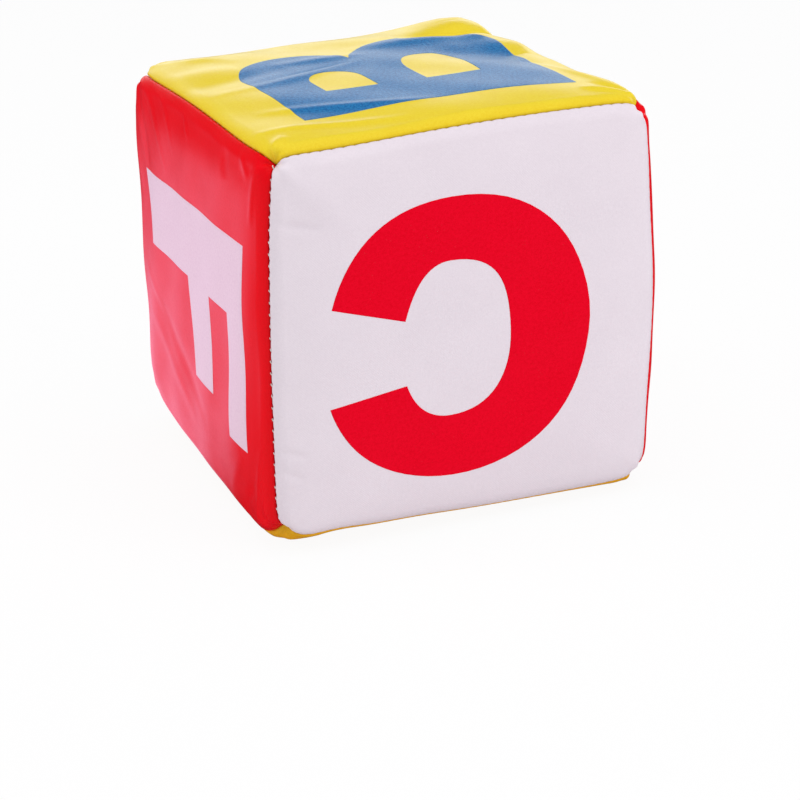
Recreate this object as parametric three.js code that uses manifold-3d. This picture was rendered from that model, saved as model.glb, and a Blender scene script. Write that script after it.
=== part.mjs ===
// A soft letter die: a foam block in a sewn cover of six crowned panels, one printed letter on each.
// Millimetres, +Z up. It rests at z = 0 on its bottom panel, centred on the Z axis, and the white
// panel with the letter C faces -Y.
import * as THREE from "three";
import { mergeVertices } from "three/addons/utils/BufferGeometryUtils.js";
import Module from "manifold-3d";

// Driving dimensions
const dieSide = 150; // across the crowns of two opposite panels
const crownHeight = 2.5; // how far the middle of a panel swells past its edges
const restCutDepth = 0.5; // how much of the bottom crown is pressed flat
const shoulderRadius = 6; // where a panel bends over towards its seam
const seamRollRadius = 2; // the tight turn that ends in the seam
const cornerDraw = 4; // how far the stitching draws each corner towards the middle
const coverThickness = 1.2;
const seamAllowance = 7; // width of the margin that is sewn in
const marginGap = 0.3; // between the two margins of a seam
const foamClearance = 0.3; // between the foam and the cover
const threadDiameter = 0.7;
const threadClearance = 0.3; // between a thread and the panels beside it
const letterHeight = 97;
const printThickness = 0.4;
const printSink = 0.05; // how far a print lies below the panel around it
const printClearance = 0.3; // under and around a print
const cutOverrun = 1; // how far a cutting tool runs past the face that it cuts

// Proportions and counts
const shoulderTurn = THREE.MathUtils.degToRad(50);
const seamTurn = THREE.MathUtils.degToRad(135);
const crownPower = 4; // a high power keeps the middle of a panel flat
const cornerPower = 8; // a high power keeps the draw close to the corners
const rollStepShare = 0.2;
const crownSteps = 3;
const shoulderSteps = 2;
const rollSteps = 2;
const curveSteps = 5;
const threadSteps = 8;
const threadSides = 6;

// Sizes that follow
const edgePlane = dieSide / 2 - crownHeight; // from the middle of the die to the edge of a crown
const restingRise = crownHeight - restCutDepth;
const centreHeight = edgePlane + restingRise;
const rollStep = rollStepShare * seamRollRadius; // least spacing of the lines that run into a seam

// The section of a panel across a seam. In and down are measured from the corner of two edge planes.
const shoulderIn =
  (shoulderRadius - seamRollRadius) * (Math.sin(shoulderTurn) - Math.cos(shoulderTurn)) +
  shoulderRadius +
  Math.SQRT2 * (seamRollRadius + marginGap / 2);
const rollIn = shoulderIn - (shoulderRadius - seamRollRadius) * Math.sin(shoulderTurn);
const rollDown = shoulderRadius - (shoulderRadius - seamRollRadius) * Math.cos(shoulderTurn);
const seamDown = rollDown + seamRollRadius / Math.SQRT2;

// The six faces. Up is the way the top of the letter points, as seen from outside, and the shift
// shares move the letter to its right and up.
const coverColours = { white: "#ece8ec", red: "#dd1024", yellow: "#f2d23c" };
const printColours = { red: "#e50d24", pink: "#ecd2de", blue: "#3f79b0" };
const faceTable = {
  top: { normal: [0, 0, 1], up: [-1, 0, 0], letter: "b", cover: "yellow", print: "blue" },
  bottom: { normal: [0, 0, -1], up: [-1, 0, 0], letter: "e", cover: "yellow", print: "blue" },
  front: { normal: [0, -1, 0], up: [0, 0, -1], letter: "c", cover: "white", print: "red" },
  back: { normal: [0, 1, 0], up: [1, 0, 0], letter: "d", cover: "white", print: "red" },
  left: { normal: [-1, 0, 0], up: [0, -1, 0], letter: "f", cover: "red", print: "pink" },
  right: { normal: [1, 0, 0], up: [0, 1, 0], letter: "a", cover: "red", print: "pink" },
};
const shiftShares = { b: [-0.05, -0.01], c: [0.03, 0.015], f: [0.02, 0.03] };
const faces = Object.entries(faceTable).map(([name, face]) => {
  const normal = new THREE.Vector3(...face.normal);
  const up = new THREE.Vector3(...face.up);
  const turn = new THREE.Matrix4().makeBasis(up.clone().cross(normal), up, normal);
  return { ...face, name, normal, turn, mostRise: name === "bottom" ? restingRise : crownHeight };
});

const wasm = await Module();
wasm.setup();

// One skin of a panel, at a depth under its outer face: the lines from its middle to its seam.
function skinLines(depth) {
  const lines = [];
  for (let k = 0; k <= crownSteps; k++) {
    lines.push({ reach: ((edgePlane - shoulderIn) * k) / crownSteps, drop: 0 });
  }
  for (let k = 1; k <= shoulderSteps + rollSteps; k++) {
    const onShoulder = k <= shoulderSteps;
    const turn = onShoulder
      ? (shoulderTurn * k) / shoulderSteps
      : shoulderTurn + ((seamTurn - shoulderTurn) * (k - shoulderSteps)) / rollSteps;
    const radius = (onShoulder ? shoulderRadius : seamRollRadius) - depth;
    const inward = (onShoulder ? shoulderIn : rollIn) - radius * Math.sin(turn);
    const downward = (onShoulder ? shoulderRadius : rollDown) - radius * Math.cos(turn);
    lines.push({ reach: edgePlane - inward, drop: downward - depth });
  }
  // The roll overhangs the seam, so the part that overhangs is kept apart as a bulge.
  const last = lines.length - 1;
  lines.forEach((line, k) => {
    const straight = Math.min(line.reach, lines[last].reach - rollStep * (last - k));
    line.bulge = line.reach - straight;
    line.reach = straight;
  });
  return lines;
}

const outerLines = skinLines(0);
const lineCount = outerLines.length - 1;
const allLines = [...outerLines.keys()];
const crownLines = allLines.slice(0, crownSteps + 1);
const foamLines = allLines.filter((k) => k <= crownSteps || (lineCount - k) % 2 === 0);
const lineShares = outerLines.map((line) => line.reach / outerLines[lineCount].reach);

// How far the corners draw the cover in, from the shares of the way to two seams.
function drawAt(shareA, shareB) {
  return cornerDraw * Math.pow(shareA * shareB, cornerPower);
}

// The point where two lines of a skin cross, in the panel's own frame: its face looks along +Z.
function skinPoint(lines, depth, mostRise, i, j) {
  const a = lines[Math.abs(i)];
  const b = lines[Math.abs(j)];
  const shareA = lineShares[Math.abs(i)];
  const shareB = lineShares[Math.abs(j)];
  const fullDrop = lines[lineCount].drop;
  const draw = drawAt(shareA, shareB);
  const swell = (1 - shareA ** crownPower) * (1 - shareB ** crownPower);
  const rise = Math.min(mostRise, crownHeight * swell);
  const drop = a.drop + b.drop - (a.drop * b.drop) / fullDrop;
  return new THREE.Vector3(
    Math.sign(i) * (a.reach + a.bulge * (1 - b.drop / fullDrop) - draw),
    Math.sign(j) * (b.reach + b.bulge * (1 - a.drop / fullDrop) - draw),
    edgePlane - depth - drop + rise - draw,
  );
}

// A square grid of skin points where the chosen lines cross, from edge to edge of the panel.
function skinGrid(depth, mostRise, chosen) {
  const lines = skinLines(depth);
  const bothSides = [...chosen.slice(1).reverse().map((k) => -k), ...chosen];
  return bothSides.map((j) => bothSides.map((i) => skinPoint(lines, depth, mostRise, i, j)));
}

// The rim of a grid, anticlockwise as seen from outside.
function rimOf(grid) {
  const last = grid.length - 1;
  const rim = [];
  for (let k = 0; k < last; k++) rim.push(grid[0][k]);
  for (let k = 0; k < last; k++) rim.push(grid[k][last]);
  for (let k = last; k > 0; k--) rim.push(grid[last][k]);
  for (let k = last; k > 0; k--) rim.push(grid[k][0]);
  return rim;
}

function gridTriangles(grid, facingOut) {
  const triangles = [];
  for (let j = 0; j + 1 < grid.length; j++) {
    for (let i = 0; i + 1 < grid.length; i++) {
      const [p, q] = [grid[j][i], grid[j][i + 1]];
      const [s, r] = [grid[j + 1][i], grid[j + 1][i + 1]];
      if (facingOut) triangles.push([p, q, r], [p, r, s]);
      else triangles.push([p, r, q], [p, s, r]);
    }
  }
  return triangles;
}

// The strips between one rim and the next.
function rimTriangles(rims) {
  const triangles = [];
  for (let level = 0; level + 1 < rims.length; level++) {
    const [upper, lower] = [rims[level], rims[level + 1]];
    upper.forEach((p, k) => {
      const next = (k + 1) % upper.length;
      triangles.push([p, lower[k], lower[next]], [p, lower[next], upper[next]]);
    });
  }
  return triangles;
}

function geometryOf(triangles) {
  const geometry = new THREE.BufferGeometry().setFromPoints(triangles.flat());
  return mergeVertices(geometry);
}

function solidOf(geometry) {
  const bare = new THREE.BufferGeometry();
  bare.setAttribute("position", geometry.getAttribute("position"));
  bare.setIndex(geometry.getIndex());
  const merged = mergeVertices(bare);
  const vertProperties = merged.getAttribute("position").array;
  const triVerts = new Uint32Array(merged.getIndex().array);
  return new wasm.Manifold(new wasm.Mesh({ numProp: 3, vertProperties, triVerts }));
}

function geometryOfSolid(solid) {
  const { vertProperties, triVerts } = solid.getMesh();
  const geometry = new THREE.BufferGeometry();
  geometry.setAttribute("position", new THREE.BufferAttribute(vertProperties, 3));
  geometry.setIndex(new THREE.BufferAttribute(triVerts, 1));
  return geometry;
}

// How much a point on a seam shrinks towards the middle of the die to lie this far inside the seam.
function shrinkTo(distance) {
  return 1 - distance / Math.SQRT2 / (edgePlane - seamDown);
}

function shrunk(rim, factor) {
  return rim.map((p) => p.clone().multiplyScalar(factor));
}

// A panel with its rolled edges and its sewn-in margins.
function panelSolid(mostRise) {
  const outer = skinGrid(0, mostRise, allLines);
  const inner = skinGrid(coverThickness, mostRise, allLines);
  const marginEnd = shrinkTo(seamAllowance);
  const rims = [
    rimOf(outer),
    shrunk(rimOf(outer), marginEnd),
    shrunk(rimOf(inner), marginEnd),
    rimOf(inner),
  ];
  return solidOf(
    geometryOf([
      ...gridTriangles(outer, true),
      ...rimTriangles(rims),
      ...gridTriangles(inner, false),
    ]),
  );
}

// A slice of a panel's crown between two depths under its outer face.
function crownSlice(upperDepth, lowerDepth, mostRise) {
  const upper = skinGrid(upperDepth, mostRise, crownLines);
  const lower = skinGrid(lowerDepth, mostRise, crownLines);
  return solidOf(
    geometryOf([
      ...gridTriangles(upper, true),
      ...rimTriangles([rimOf(upper), rimOf(lower)]),
      ...gridTriangles(lower, false),
    ]),
  );
}

// Letter outlines as shares of the letter height, the letter upright and its middle at 0, 0. Two
// numbers are a corner, six are a curve: two control points and an end. Later contours are holes.
const letterShares = {
  a: [
    [
      [-0.5, -0.5], [-0.195, -0.5], [-0.136, -0.31], [0.136, -0.31],
      [0.195, -0.5], [0.5, -0.5], [0.155, 0.5], [-0.155, 0.5],
    ],
    [[-0.074, -0.115], [0, 0.13], [0.074, -0.115]],
  ],
  b: [
    [
      [-0.44, -0.5], [0.1, -0.5], [0.31, -0.5, 0.45, -0.4, 0.45, -0.22],
      [0.45, -0.09, 0.375, 0, 0.27, 0.03], [0.33, 0.065, 0.37, 0.14, 0.37, 0.25],
      [0.37, 0.41, 0.27, 0.5, 0.08, 0.5], [-0.44, 0.5],
    ],
    [
      [-0.16, 0.105], [-0.16, 0.295], [-0.02, 0.295],
      [0.06, 0.295, 0.095, 0.26, 0.095, 0.2], [0.095, 0.14, 0.06, 0.105, -0.02, 0.105],
    ],
    [
      [-0.16, -0.305], [-0.16, -0.095], [0.01, -0.095],
      [0.1, -0.095, 0.156, -0.13, 0.156, -0.2], [0.156, -0.27, 0.1, -0.305, 0.01, -0.305],
    ],
  ],
  c: [
    [
      [0.492, 0.176], [0.45, 0.34, 0.29, 0.5, 0.06, 0.5], [-0.275, 0.5, -0.492, 0.3, -0.492, 0],
      [-0.492, -0.305, -0.29, -0.5, 0.03, -0.5], [0.25, -0.5, 0.42, -0.36, 0.476, -0.178],
      [0.214, -0.093], [0.185, -0.215, 0.105, -0.276, 0.005, -0.276],
      [-0.135, -0.276, -0.182, -0.175, -0.182, 0], [-0.182, 0.165, -0.095, 0.276, 0.045, 0.276],
      [0.13, 0.276, 0.195, 0.225, 0.218, 0.142],
    ],
  ],
  d: [
    [
      [-0.43, -0.5], [-0.02, -0.5], [0.28, -0.5, 0.45, -0.32, 0.45, 0],
      [0.45, 0.32, 0.28, 0.5, -0.02, 0.5], [-0.43, 0.5],
    ],
    [
      [-0.15, -0.295], [-0.15, 0.295], [-0.05, 0.295],
      [0.09, 0.295, 0.16, 0.2, 0.16, 0], [0.16, -0.2, 0.09, -0.295, -0.05, -0.295],
    ],
  ],
  e: [
    [
      [-0.39, -0.5], [0.4, -0.5], [0.4, -0.305], [-0.105, -0.305], [-0.105, -0.095], [0.33, -0.095],
      [0.33, 0.1], [-0.105, 0.1], [-0.105, 0.305], [0.38, 0.305], [0.38, 0.5], [-0.39, 0.5],
    ],
  ],
  f: [
    [
      [-0.38, -0.5], [-0.095, -0.5], [-0.095, -0.055], [0.285, -0.055], [0.285, 0.14],
      [-0.095, 0.14], [-0.095, 0.305], [0.38, 0.305], [0.38, 0.5], [-0.38, 0.5],
    ],
  ],
};

// The points of each contour of a letter, at the letter's size.
function letterContours(letter) {
  return letterShares[letter].map(([start, ...parts]) => {
    const path = new THREE.Path();
    path.moveTo(start[0], start[1]);
    parts.forEach((part) => {
      if (part.length === 2) path.lineTo(...part);
      else path.bezierCurveTo(...part);
    });
    return path.getPoints(curveSteps).map((p) => p.multiplyScalar(letterHeight));
  });
}

// A contour moved sideways by a distance: outwards round a letter, inwards in a hole.
function widened(points, distance) {
  const area = THREE.ShapeUtils.area(points);
  const side = Math.sign(area) * distance;
  return points.map((p, k) => {
    const before = p.clone().sub(points[(k + points.length - 1) % points.length]).normalize();
    const after = points[(k + 1) % points.length].clone().sub(p).normalize();
    const middle = before.clone().add(after).normalize();
    const reach = side / middle.dot(before);
    return new THREE.Vector2(p.x + middle.y * reach, p.y - middle.x * reach);
  });
}

// A letter as an upright prism through the crown, widened by a clearance.
function letterPrism(letter, clearance) {
  const contours = letterContours(letter).map((points, k) => widened(points, k ? -clearance : clearance));
  const [outline, ...holes] = contours;
  const shape = new THREE.Shape(outline);
  shape.holes = holes.map((points) => new THREE.Path(points));
  const geometry = new THREE.ExtrudeGeometry(shape, { depth: dieSide, bevelEnabled: false });
  const [shiftX, shiftY] = shiftShares[letter] ?? [0, 0];
  geometry.translate(shiftX * letterHeight, shiftY * letterHeight, 0);
  return solidOf(geometry);
}

// The foam block fills the cover, with a slit along each edge for the margins of the seam.
function foamGeometry() {
  const depth = coverThickness + foamClearance;
  const slitEnd = shrinkTo(seamAllowance + foamClearance);
  const triangles = faces.flatMap((face) => {
    const grid = skinGrid(depth, face.mostRise, foamLines);
    const seamRim = rimOf(skinGrid(-marginGap / 2, face.mostRise, foamLines));
    const rims = [rimOf(grid), shrunk(rimOf(grid), slitEnd), shrunk(seamRim, slitEnd)];
    const patch = [...gridTriangles(grid, true), ...rimTriangles(rims)];
    return patch.map((corners) => corners.map((p) => p.clone().applyMatrix4(face.turn)));
  });
  return geometryOf(triangles);
}

// A seam's thread lies in the groove between two panels, clear of both rolled edges.
function threadGeometry(faceA, faceB) {
  const toRoll = seamRollRadius + threadClearance + threadDiameter / 2;
  const aboveSeam = Math.sqrt(toRoll ** 2 - (seamRollRadius + marginGap / 2) ** 2);
  const threadDown = (rollIn + rollDown) / 2 - aboveSeam / Math.SQRT2;
  const along = faceA.normal.clone().cross(faceB.normal);
  const reach = edgePlane - shoulderIn;
  const points = [];
  for (let k = -threadSteps; k <= threadSteps; k++) {
    const share = k / threadSteps;
    const draw = drawAt(1, (Math.abs(share) * reach) / outerLines[lineCount].reach);
    const level = edgePlane - threadDown - draw;
    points.push(
      new THREE.Vector3()
        .addScaledVector(faceA.normal, level)
        .addScaledVector(faceB.normal, level)
        .addScaledVector(along, share * reach),
    );
  }
  const section = new THREE.Shape();
  for (let k = 0; k < threadSides; k++) {
    const angle = (2 * Math.PI * k) / threadSides;
    const [x, y] = [(Math.cos(angle) * threadDiameter) / 2, (Math.sin(angle) * threadDiameter) / 2];
    if (k) section.lineTo(x, y);
    else section.moveTo(x, y);
  }
  const extrudePath = new THREE.CatmullRomCurve3(points);
  return new THREE.ExtrudeGeometry(section, { steps: threadSteps, extrudePath, bevelEnabled: false });
}

const die = new THREE.Group();
die.position.z = centreHeight;

function addPiece(name, geometry, color, roughness, turn = new THREE.Matrix4()) {
  const mesh = new THREE.Mesh(geometry, new THREE.MeshStandardMaterial({ color, roughness, metalness: 0 }));
  mesh.name = name;
  mesh.quaternion.setFromRotationMatrix(turn);
  die.add(mesh);
}

addPiece("foam_core", foamGeometry(), "#f4eecb", 0.95);

faces.forEach((face) => {
  const floorDepth = printSink + printThickness;
  const pocket = crownSlice(-cutOverrun, floorDepth + printClearance, face.mostRise).intersect(
    letterPrism(face.letter, printClearance),
  );
  const print = crownSlice(printSink, floorDepth, face.mostRise).intersect(
    letterPrism(face.letter, 0),
  );
  const panel = panelSolid(face.mostRise).subtract(pocket);
  addPiece(`panel_${face.name}`, geometryOfSolid(panel), coverColours[face.cover], 0.42, face.turn);
  addPiece(`letter_${face.letter}`, geometryOfSolid(print), printColours[face.print], 0.38, face.turn);
});

faces.forEach((faceA, k) => {
  faces.slice(k + 1).forEach((faceB) => {
    if (faceA.normal.dot(faceB.normal) !== 0) return;
    addPiece(`seam_${faceA.name}_${faceB.name}`, threadGeometry(faceA, faceB), "#f0ece4", 0.7);
  });
});

export default die;
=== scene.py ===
import itertools
import math
import random
import bpy
import bmesh
import numpy as np
from mathutils import Matrix, Vector
from mathutils.kdtree import KDTree


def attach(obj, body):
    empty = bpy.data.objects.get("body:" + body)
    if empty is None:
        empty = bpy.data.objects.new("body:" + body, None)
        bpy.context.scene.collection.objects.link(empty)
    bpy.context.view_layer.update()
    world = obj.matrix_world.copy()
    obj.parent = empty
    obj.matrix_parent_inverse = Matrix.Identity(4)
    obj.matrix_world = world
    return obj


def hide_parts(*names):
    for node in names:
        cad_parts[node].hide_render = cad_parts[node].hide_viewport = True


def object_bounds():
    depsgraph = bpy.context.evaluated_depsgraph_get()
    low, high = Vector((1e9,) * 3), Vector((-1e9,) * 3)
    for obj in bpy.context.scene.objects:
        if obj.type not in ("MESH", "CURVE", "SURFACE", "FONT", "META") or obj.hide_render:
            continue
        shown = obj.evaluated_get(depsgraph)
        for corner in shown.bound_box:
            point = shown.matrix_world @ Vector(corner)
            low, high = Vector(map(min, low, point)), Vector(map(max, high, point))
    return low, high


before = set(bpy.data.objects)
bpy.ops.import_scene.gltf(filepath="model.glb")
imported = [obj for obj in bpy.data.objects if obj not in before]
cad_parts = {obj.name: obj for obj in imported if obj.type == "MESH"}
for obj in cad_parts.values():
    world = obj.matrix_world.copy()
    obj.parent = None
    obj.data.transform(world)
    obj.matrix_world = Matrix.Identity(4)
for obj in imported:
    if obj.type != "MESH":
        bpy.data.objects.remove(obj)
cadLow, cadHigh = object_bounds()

# A soft letter die: six leatherette panels sewn round a foam block, one printed letter on each.
# Sizes are in millimetres until a mesh is made. Panels are worked out round the die's own middle.
mm = 0.001
dieSide = (cadHigh.x - cadLow.x) / mm
dieHeight = (cadHigh.z - cadLow.z) / mm

cover = {
    "crownHeight": 2.5,  # how far the middle of a panel swells past its edges
    "crownPower": 4,  # a high power keeps the middle of a panel flat
    "shoulderRadius": 5.0,
    "shoulderTurn": 50.0,  # where the shoulder ends and the tighter roll begins, in degrees
    "rollRadius": 1.0,
    "seamTurn": 135.0,
    "cornerDraw": 4.0,  # how far the stitching draws each corner in
    "cornerPower": 20,  # a high power keeps the draw close to the corners
    "rollSlope": 0.27,  # least advance of the lines that run into a seam, per millimetre
    "thickness": 0.8,
    "marginWidth": 7.0,  # the cloth beyond the seam, which turns in
    "marginGap": 0.12,
    "marginRings": 3,
    "lineSteps": (96, 12, 12),  # lines over a crown, its shoulder and its roll
}
restPressed = dieSide - dieHeight  # how much of the bottom crown is pressed flat
edgePlane = dieSide / 2 - cover["crownHeight"]
centreHeight = dieHeight - dieSide / 2
shoulderTurn = math.radians(cover["shoulderTurn"])
seamTurn = math.radians(cover["seamTurn"])
shoulderExtra = cover["shoulderRadius"] - cover["rollRadius"]
shoulderIn = (
    shoulderExtra * (math.sin(shoulderTurn) - math.cos(shoulderTurn))
    + cover["shoulderRadius"]
    + math.sqrt(2) * (cover["rollRadius"] + cover["marginGap"] / 2)
)
rollIn = shoulderIn - shoulderExtra * math.sin(shoulderTurn)
rollDown = cover["shoulderRadius"] - shoulderExtra * math.cos(shoulderTurn)
crownEnd = edgePlane - shoulderIn
rollStart = crownEnd + cover["shoulderRadius"] * shoulderTurn
seamArc = rollStart + cover["rollRadius"] * (seamTurn - shoulderTurn)
seamLevel = edgePlane - rollDown - cover["rollRadius"] / math.sqrt(2)

# Up is the way the top of the letter points, as seen from outside.
faceTable = {
    "top": {"normal": (0, 0, 1), "up": (-1, 0, 0), "letter": "b", "cover": "yellow", "print": "blue"},
    "bottom": {"normal": (0, 0, -1), "up": (-1, 0, 0), "letter": "e", "cover": "yellow", "print": "blue"},
    "front": {"normal": (0, -1, 0), "up": (0, 0, -1), "letter": "c", "cover": "white", "print": "red"},
    "back": {"normal": (0, 1, 0), "up": (1, 0, 0), "letter": "d", "cover": "white", "print": "red"},
    "left": {"normal": (-1, 0, 0), "up": (0, -1, 0), "letter": "f", "cover": "red", "print": "pink"},
    "right": {"normal": (1, 0, 0), "up": (0, 1, 0), "letter": "a", "cover": "red", "print": "pink"},
}


def linked(name, data):
    # A new object in the scene
    piece = bpy.data.objects.new(name, data)
    bpy.context.scene.collection.objects.link(piece)
    return piece


# Camera

view = {
    "azimuth": -23.15,
    "elevation": 21.66,
    "roll": -1.18,
    "distance": 732.7,
    "aimRight": 5.9,  # the axis passes this far right of the die's middle
    "aimBelow": 49.7,
    "focalLength": 88.93,
    "sensorWidth": 36.0,
    "clip": (0.01, 50.0),  # in metres
}


def makeCamera():
    azimuth, elevation, roll = (math.radians(view[k]) for k in ("azimuth", "elevation", "roll"))
    back = Vector((
        math.sin(azimuth) * math.cos(elevation),
        -math.cos(azimuth) * math.cos(elevation),
        math.sin(elevation),
    ))
    level = Vector((0, 0, 1)).cross(back).normalized()
    right = level * math.cos(roll) + back.cross(level) * math.sin(roll)
    up = back.cross(right)
    place = back * view["distance"] + right * view["aimRight"] - up * view["aimBelow"]
    place.z += centreHeight
    camera = linked("camera", bpy.data.cameras.new("camera"))
    camera.data.lens = view["focalLength"]
    camera.data.sensor_width = view["sensorWidth"]
    camera.data.clip_start, camera.data.clip_end = view["clip"]
    camera.matrix_world = Matrix.Translation(place * mm) @ Matrix((right, up, back)).transposed().to_4x4()
    bpy.context.scene.camera = camera


makeCamera()
print("camera placed")


# Node trees

class Wire:
    # A socket in a node tree. Sums and products of wires add Math nodes to the tree.
    def __init__(self, tree, socket=None):
        self.tree = tree
        self.socket = socket

    def add(self, kind, inputs=None, output=0, **settings):
        node = self.tree.nodes.new(kind)
        for name, value in settings.items():
            setattr(node, name, value)
        for name, value in (inputs or {}).items():
            socket = self.pick(node.inputs, name)
            if isinstance(value, Wire):
                self.tree.links.new(value.socket, socket)
            else:
                socket.default_value = value
        outlet = self.pick(node.outputs, output) if len(node.outputs) else None
        return Wire(self.tree, outlet)

    @staticmethod
    def pick(sockets, name):
        if isinstance(name, int):
            return sockets[name]
        return next((s for s in sockets if s.identifier == name), None) or sockets[name]

    def maths(self, operation, *values):
        return self.add("ShaderNodeMath", dict(enumerate(values)), operation=operation)

    def __add__(self, other):
        return self.maths("ADD", self, other)

    __radd__ = __add__

    def __mul__(self, other):
        return self.maths("MULTIPLY", self, other)

    __rmul__ = __mul__

    def __sub__(self, other):
        return self.maths("SUBTRACT", self, other)

    def __rsub__(self, other):
        return self.maths("SUBTRACT", other, self)

    def sine(self):
        return self.maths("SINE", self)

    def axis(self, name):
        return self.add("ShaderNodeSeparateXYZ", {"Vector": self}, name)

    def between(self, low, high):
        # 0 below low, 1 above high and smooth in between
        sockets = {"Value": self, "From Min": low, "From Max": high}
        return self.add("ShaderNodeMapRange", sockets, interpolation_type="SMOOTHSTEP")

    def scaled(self, factor):
        return self.add("ShaderNodeVectorMath", {"Vector": self, "Scale": factor}, operation="SCALE")

    def noise(self, size, detail, roughness):
        # Clouds about as wide as size, from 0 to 1
        sockets = {"Vector": self, "Scale": 1 / size, "Detail": detail, "Roughness": roughness}
        return self.add("ShaderNodeTexNoise", sockets, "Fac")

    def shade(self, low, high):
        # A colour between two, with this wire as the share of the second
        sockets = {"Factor_Float": self, "A_Color": low, "B_Color": high}
        return self.add("ShaderNodeMix", sockets, "Result_Color", data_type="RGBA", clamp_factor=True)

    def bump(self, strength, distance):
        # The normal of a surface that has this wire as its height
        sockets = {"Strength": strength, "Distance": distance, "Height": self}
        return self.add("ShaderNodeBump", sockets, "Normal")

    def principled(self, inputs):
        return self.add("ShaderNodeBsdfPrincipled", inputs)

    def out(self):
        return self.add("ShaderNodeOutputMaterial", {"Surface": self})


def colour(code):
    # A colour as a screen shows it, turned to the linear values that a node takes
    steps = [int(code[k : k + 2], 16) / 255 for k in (1, 3, 5)]
    return (*[s / 12.92 if s < 0.04045 else ((s + 0.055) / 1.055) ** 2.4 for s in steps], 1.0)


def newMaterial(name):
    material = bpy.data.materials.new(name)
    material.use_nodes = True
    material.node_tree.nodes.clear()
    return material, Wire(material.node_tree)


# Coated cloth: a satin film over a fine knitted backing, which shows through as a faint weave

# The tone runs from colour to deep. Gloss is the strength of reflections, grain the height of the
# fine bumps, and mottle the contrast of the fine tones.
leatherette = {
    "white": {
        "colour": "#e6dce3", "deep": "#dbd0d8", "fleck": "#efeaf0",
        "roughness": 0.42, "gloss": 0.2, "grain": 0.06, "mottle": 0.9,
    },
    "red": {
        "colour": "#ec0418", "deep": "#da000c", "fleck": "#f04a55",
        "roughness": 0.33, "gloss": 0.13, "grain": 0.08, "mottle": 0.9,
    },
    "yellow": {
        # The yellow's colour for its lowest edges is painted shade near the floor.
        "colour": "#ebd53a", "deep": "#e2c01a", "fleck": "#f4e08a", "lowShade": "#dd9505",
        "roughness": 0.31, "gloss": 0.2, "grain": 0.06, "mottle": 0.9,
    },
}
printing = {
    "red": {
        "colour": "#e80425", "deep": "#da001a", "fleck": "#f3808c",
        "roughness": 0.40, "gloss": 0.03, "grain": 0.06, "mottle": 2.4,
    },
    "pink": {
        "colour": "#e4c9d8", "deep": "#dbbccf", "fleck": "#f2e2ea",
        "roughness": 0.44, "gloss": 0.1, "grain": 0.06, "mottle": 2.4,
    },
    "blue": {
        "colour": "#2c7db5", "deep": "#185a96", "fleck": "#7fb0cf",
        "roughness": 0.33, "gloss": 0.29, "grain": 0.2, "mottle": 6.0,
    },
}
coating = {
    "weavePitch": 0.9,
    "weaveHeight": 0.012,
    "cloudNoise": (14.0, 3.0, 0.6),  # size, detail and roughness of a noise
    "grainNoise": (1.1, 3.0, 0.65),
    "fineNoise": (1.1 / 3, 1.0, 0.5),
    "plainTone": 0.35,  # shares of the deep colour: everywhere, in the clouds and at the seams, where it is painted shade
    "cloudTone": 0.5,
    "seamShadeTone": 0.4,
    "seamShade": 5.0,  # how far from a seam the cloth is darker, as painted shade
    "speckGrain": (0.74, 0.8),  # where the fine noise makes pale specks, and which clouds hold them
    "speckClouds": (0.42, 0.6),
    "speckTone": 0.5,
    "lowShadeFrom": (0.0, 2 * mm),  # painted shade: the lowest edges, just above the floor, have a deeper tone, between these heights
    "lowShadeTo": (5 * mm, 14 * mm),
    "lowShadeTone": 0.8,
    "bumpStrength": 0.6,
    "cloudRoughness": 0.12,  # how much the clouds and the grain change the roughness
    "grainRoughness": 0.1,
}


def coatedCloth(name, finish):
    material, wire = newMaterial(name)
    place = wire.add("ShaderNodeAttribute", output="Vector", attribute_name="cloth").scaled(1 / mm)
    flat = wire.add("ShaderNodeVectorMath", {0: place, 1: (1, 1, 0)}, operation="MULTIPLY")

    clouds = flat.noise(*coating["cloudNoise"])
    grain = flat.noise(*coating["grainNoise"])
    fine = flat.noise(*coating["fineNoise"])
    # Painted shade: the tone deepens within a few millimetres of each seam.
    nearSeamShade = 1 - place.axis("Z").between(0.0, coating["seamShade"])
    depth = (clouds - 0.5) * coating["cloudTone"] + (grain + fine - 1) * finish["mottle"]
    depth = depth + nearSeamShade * coating["seamShadeTone"] + coating["plainTone"]
    tone = depth.shade(colour(finish["colour"]), colour(finish["deep"]))
    specks = fine.between(*coating["speckGrain"]) * clouds.between(*coating["speckClouds"])
    tone = (specks * coating["speckTone"]).shade(tone, colour(finish["fleck"]))
    # Painted shade: the cloth takes a deeper tone just above the floor.
    height = wire.add("ShaderNodeTexCoord", output="Object").axis("Z")
    lowShade = height.between(*coating["lowShadeFrom"]) * (1 - height.between(*coating["lowShadeTo"]))
    tone = (lowShade * coating["lowShadeTone"]).shade(tone, colour(finish.get("lowShade", finish["deep"])))

    turn = 2 * math.pi / coating["weavePitch"]
    weave = (flat.axis("X") * turn).sine() * (flat.axis("Y") * turn).sine()
    weave = weave * coating["weaveHeight"] + (grain - 0.5) * finish["grain"]
    roughness = (clouds - 0.5) * coating["cloudRoughness"] + (grain - 0.5) * coating["grainRoughness"]
    wire.principled({
        "Base Color": tone,
        "Roughness": roughness + finish["roughness"],
        "Specular IOR Level": finish["gloss"],
        "Normal": weave.bump(coating["bumpStrength"], mm),
    }).out()
    return material


polyester = {
    "colour": "#f4f0ea", "deep": "#d9d2c8", "roughness": 0.7,
    "fuzzNoise": (0.5, 2.0, 0.6), "fuzzStrength": 0.5, "fuzzHeight": 0.2 * mm,
}
openCell = {
    "colour": "#c9bd84", "pale": "#f3ecc8", "paleShare": 1.4, "roughness": 0.95,
    "cellsPerMillimetre": 0.9, "cellStrength": 0.8, "cellHeight": 0.4 * mm,
}


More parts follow.
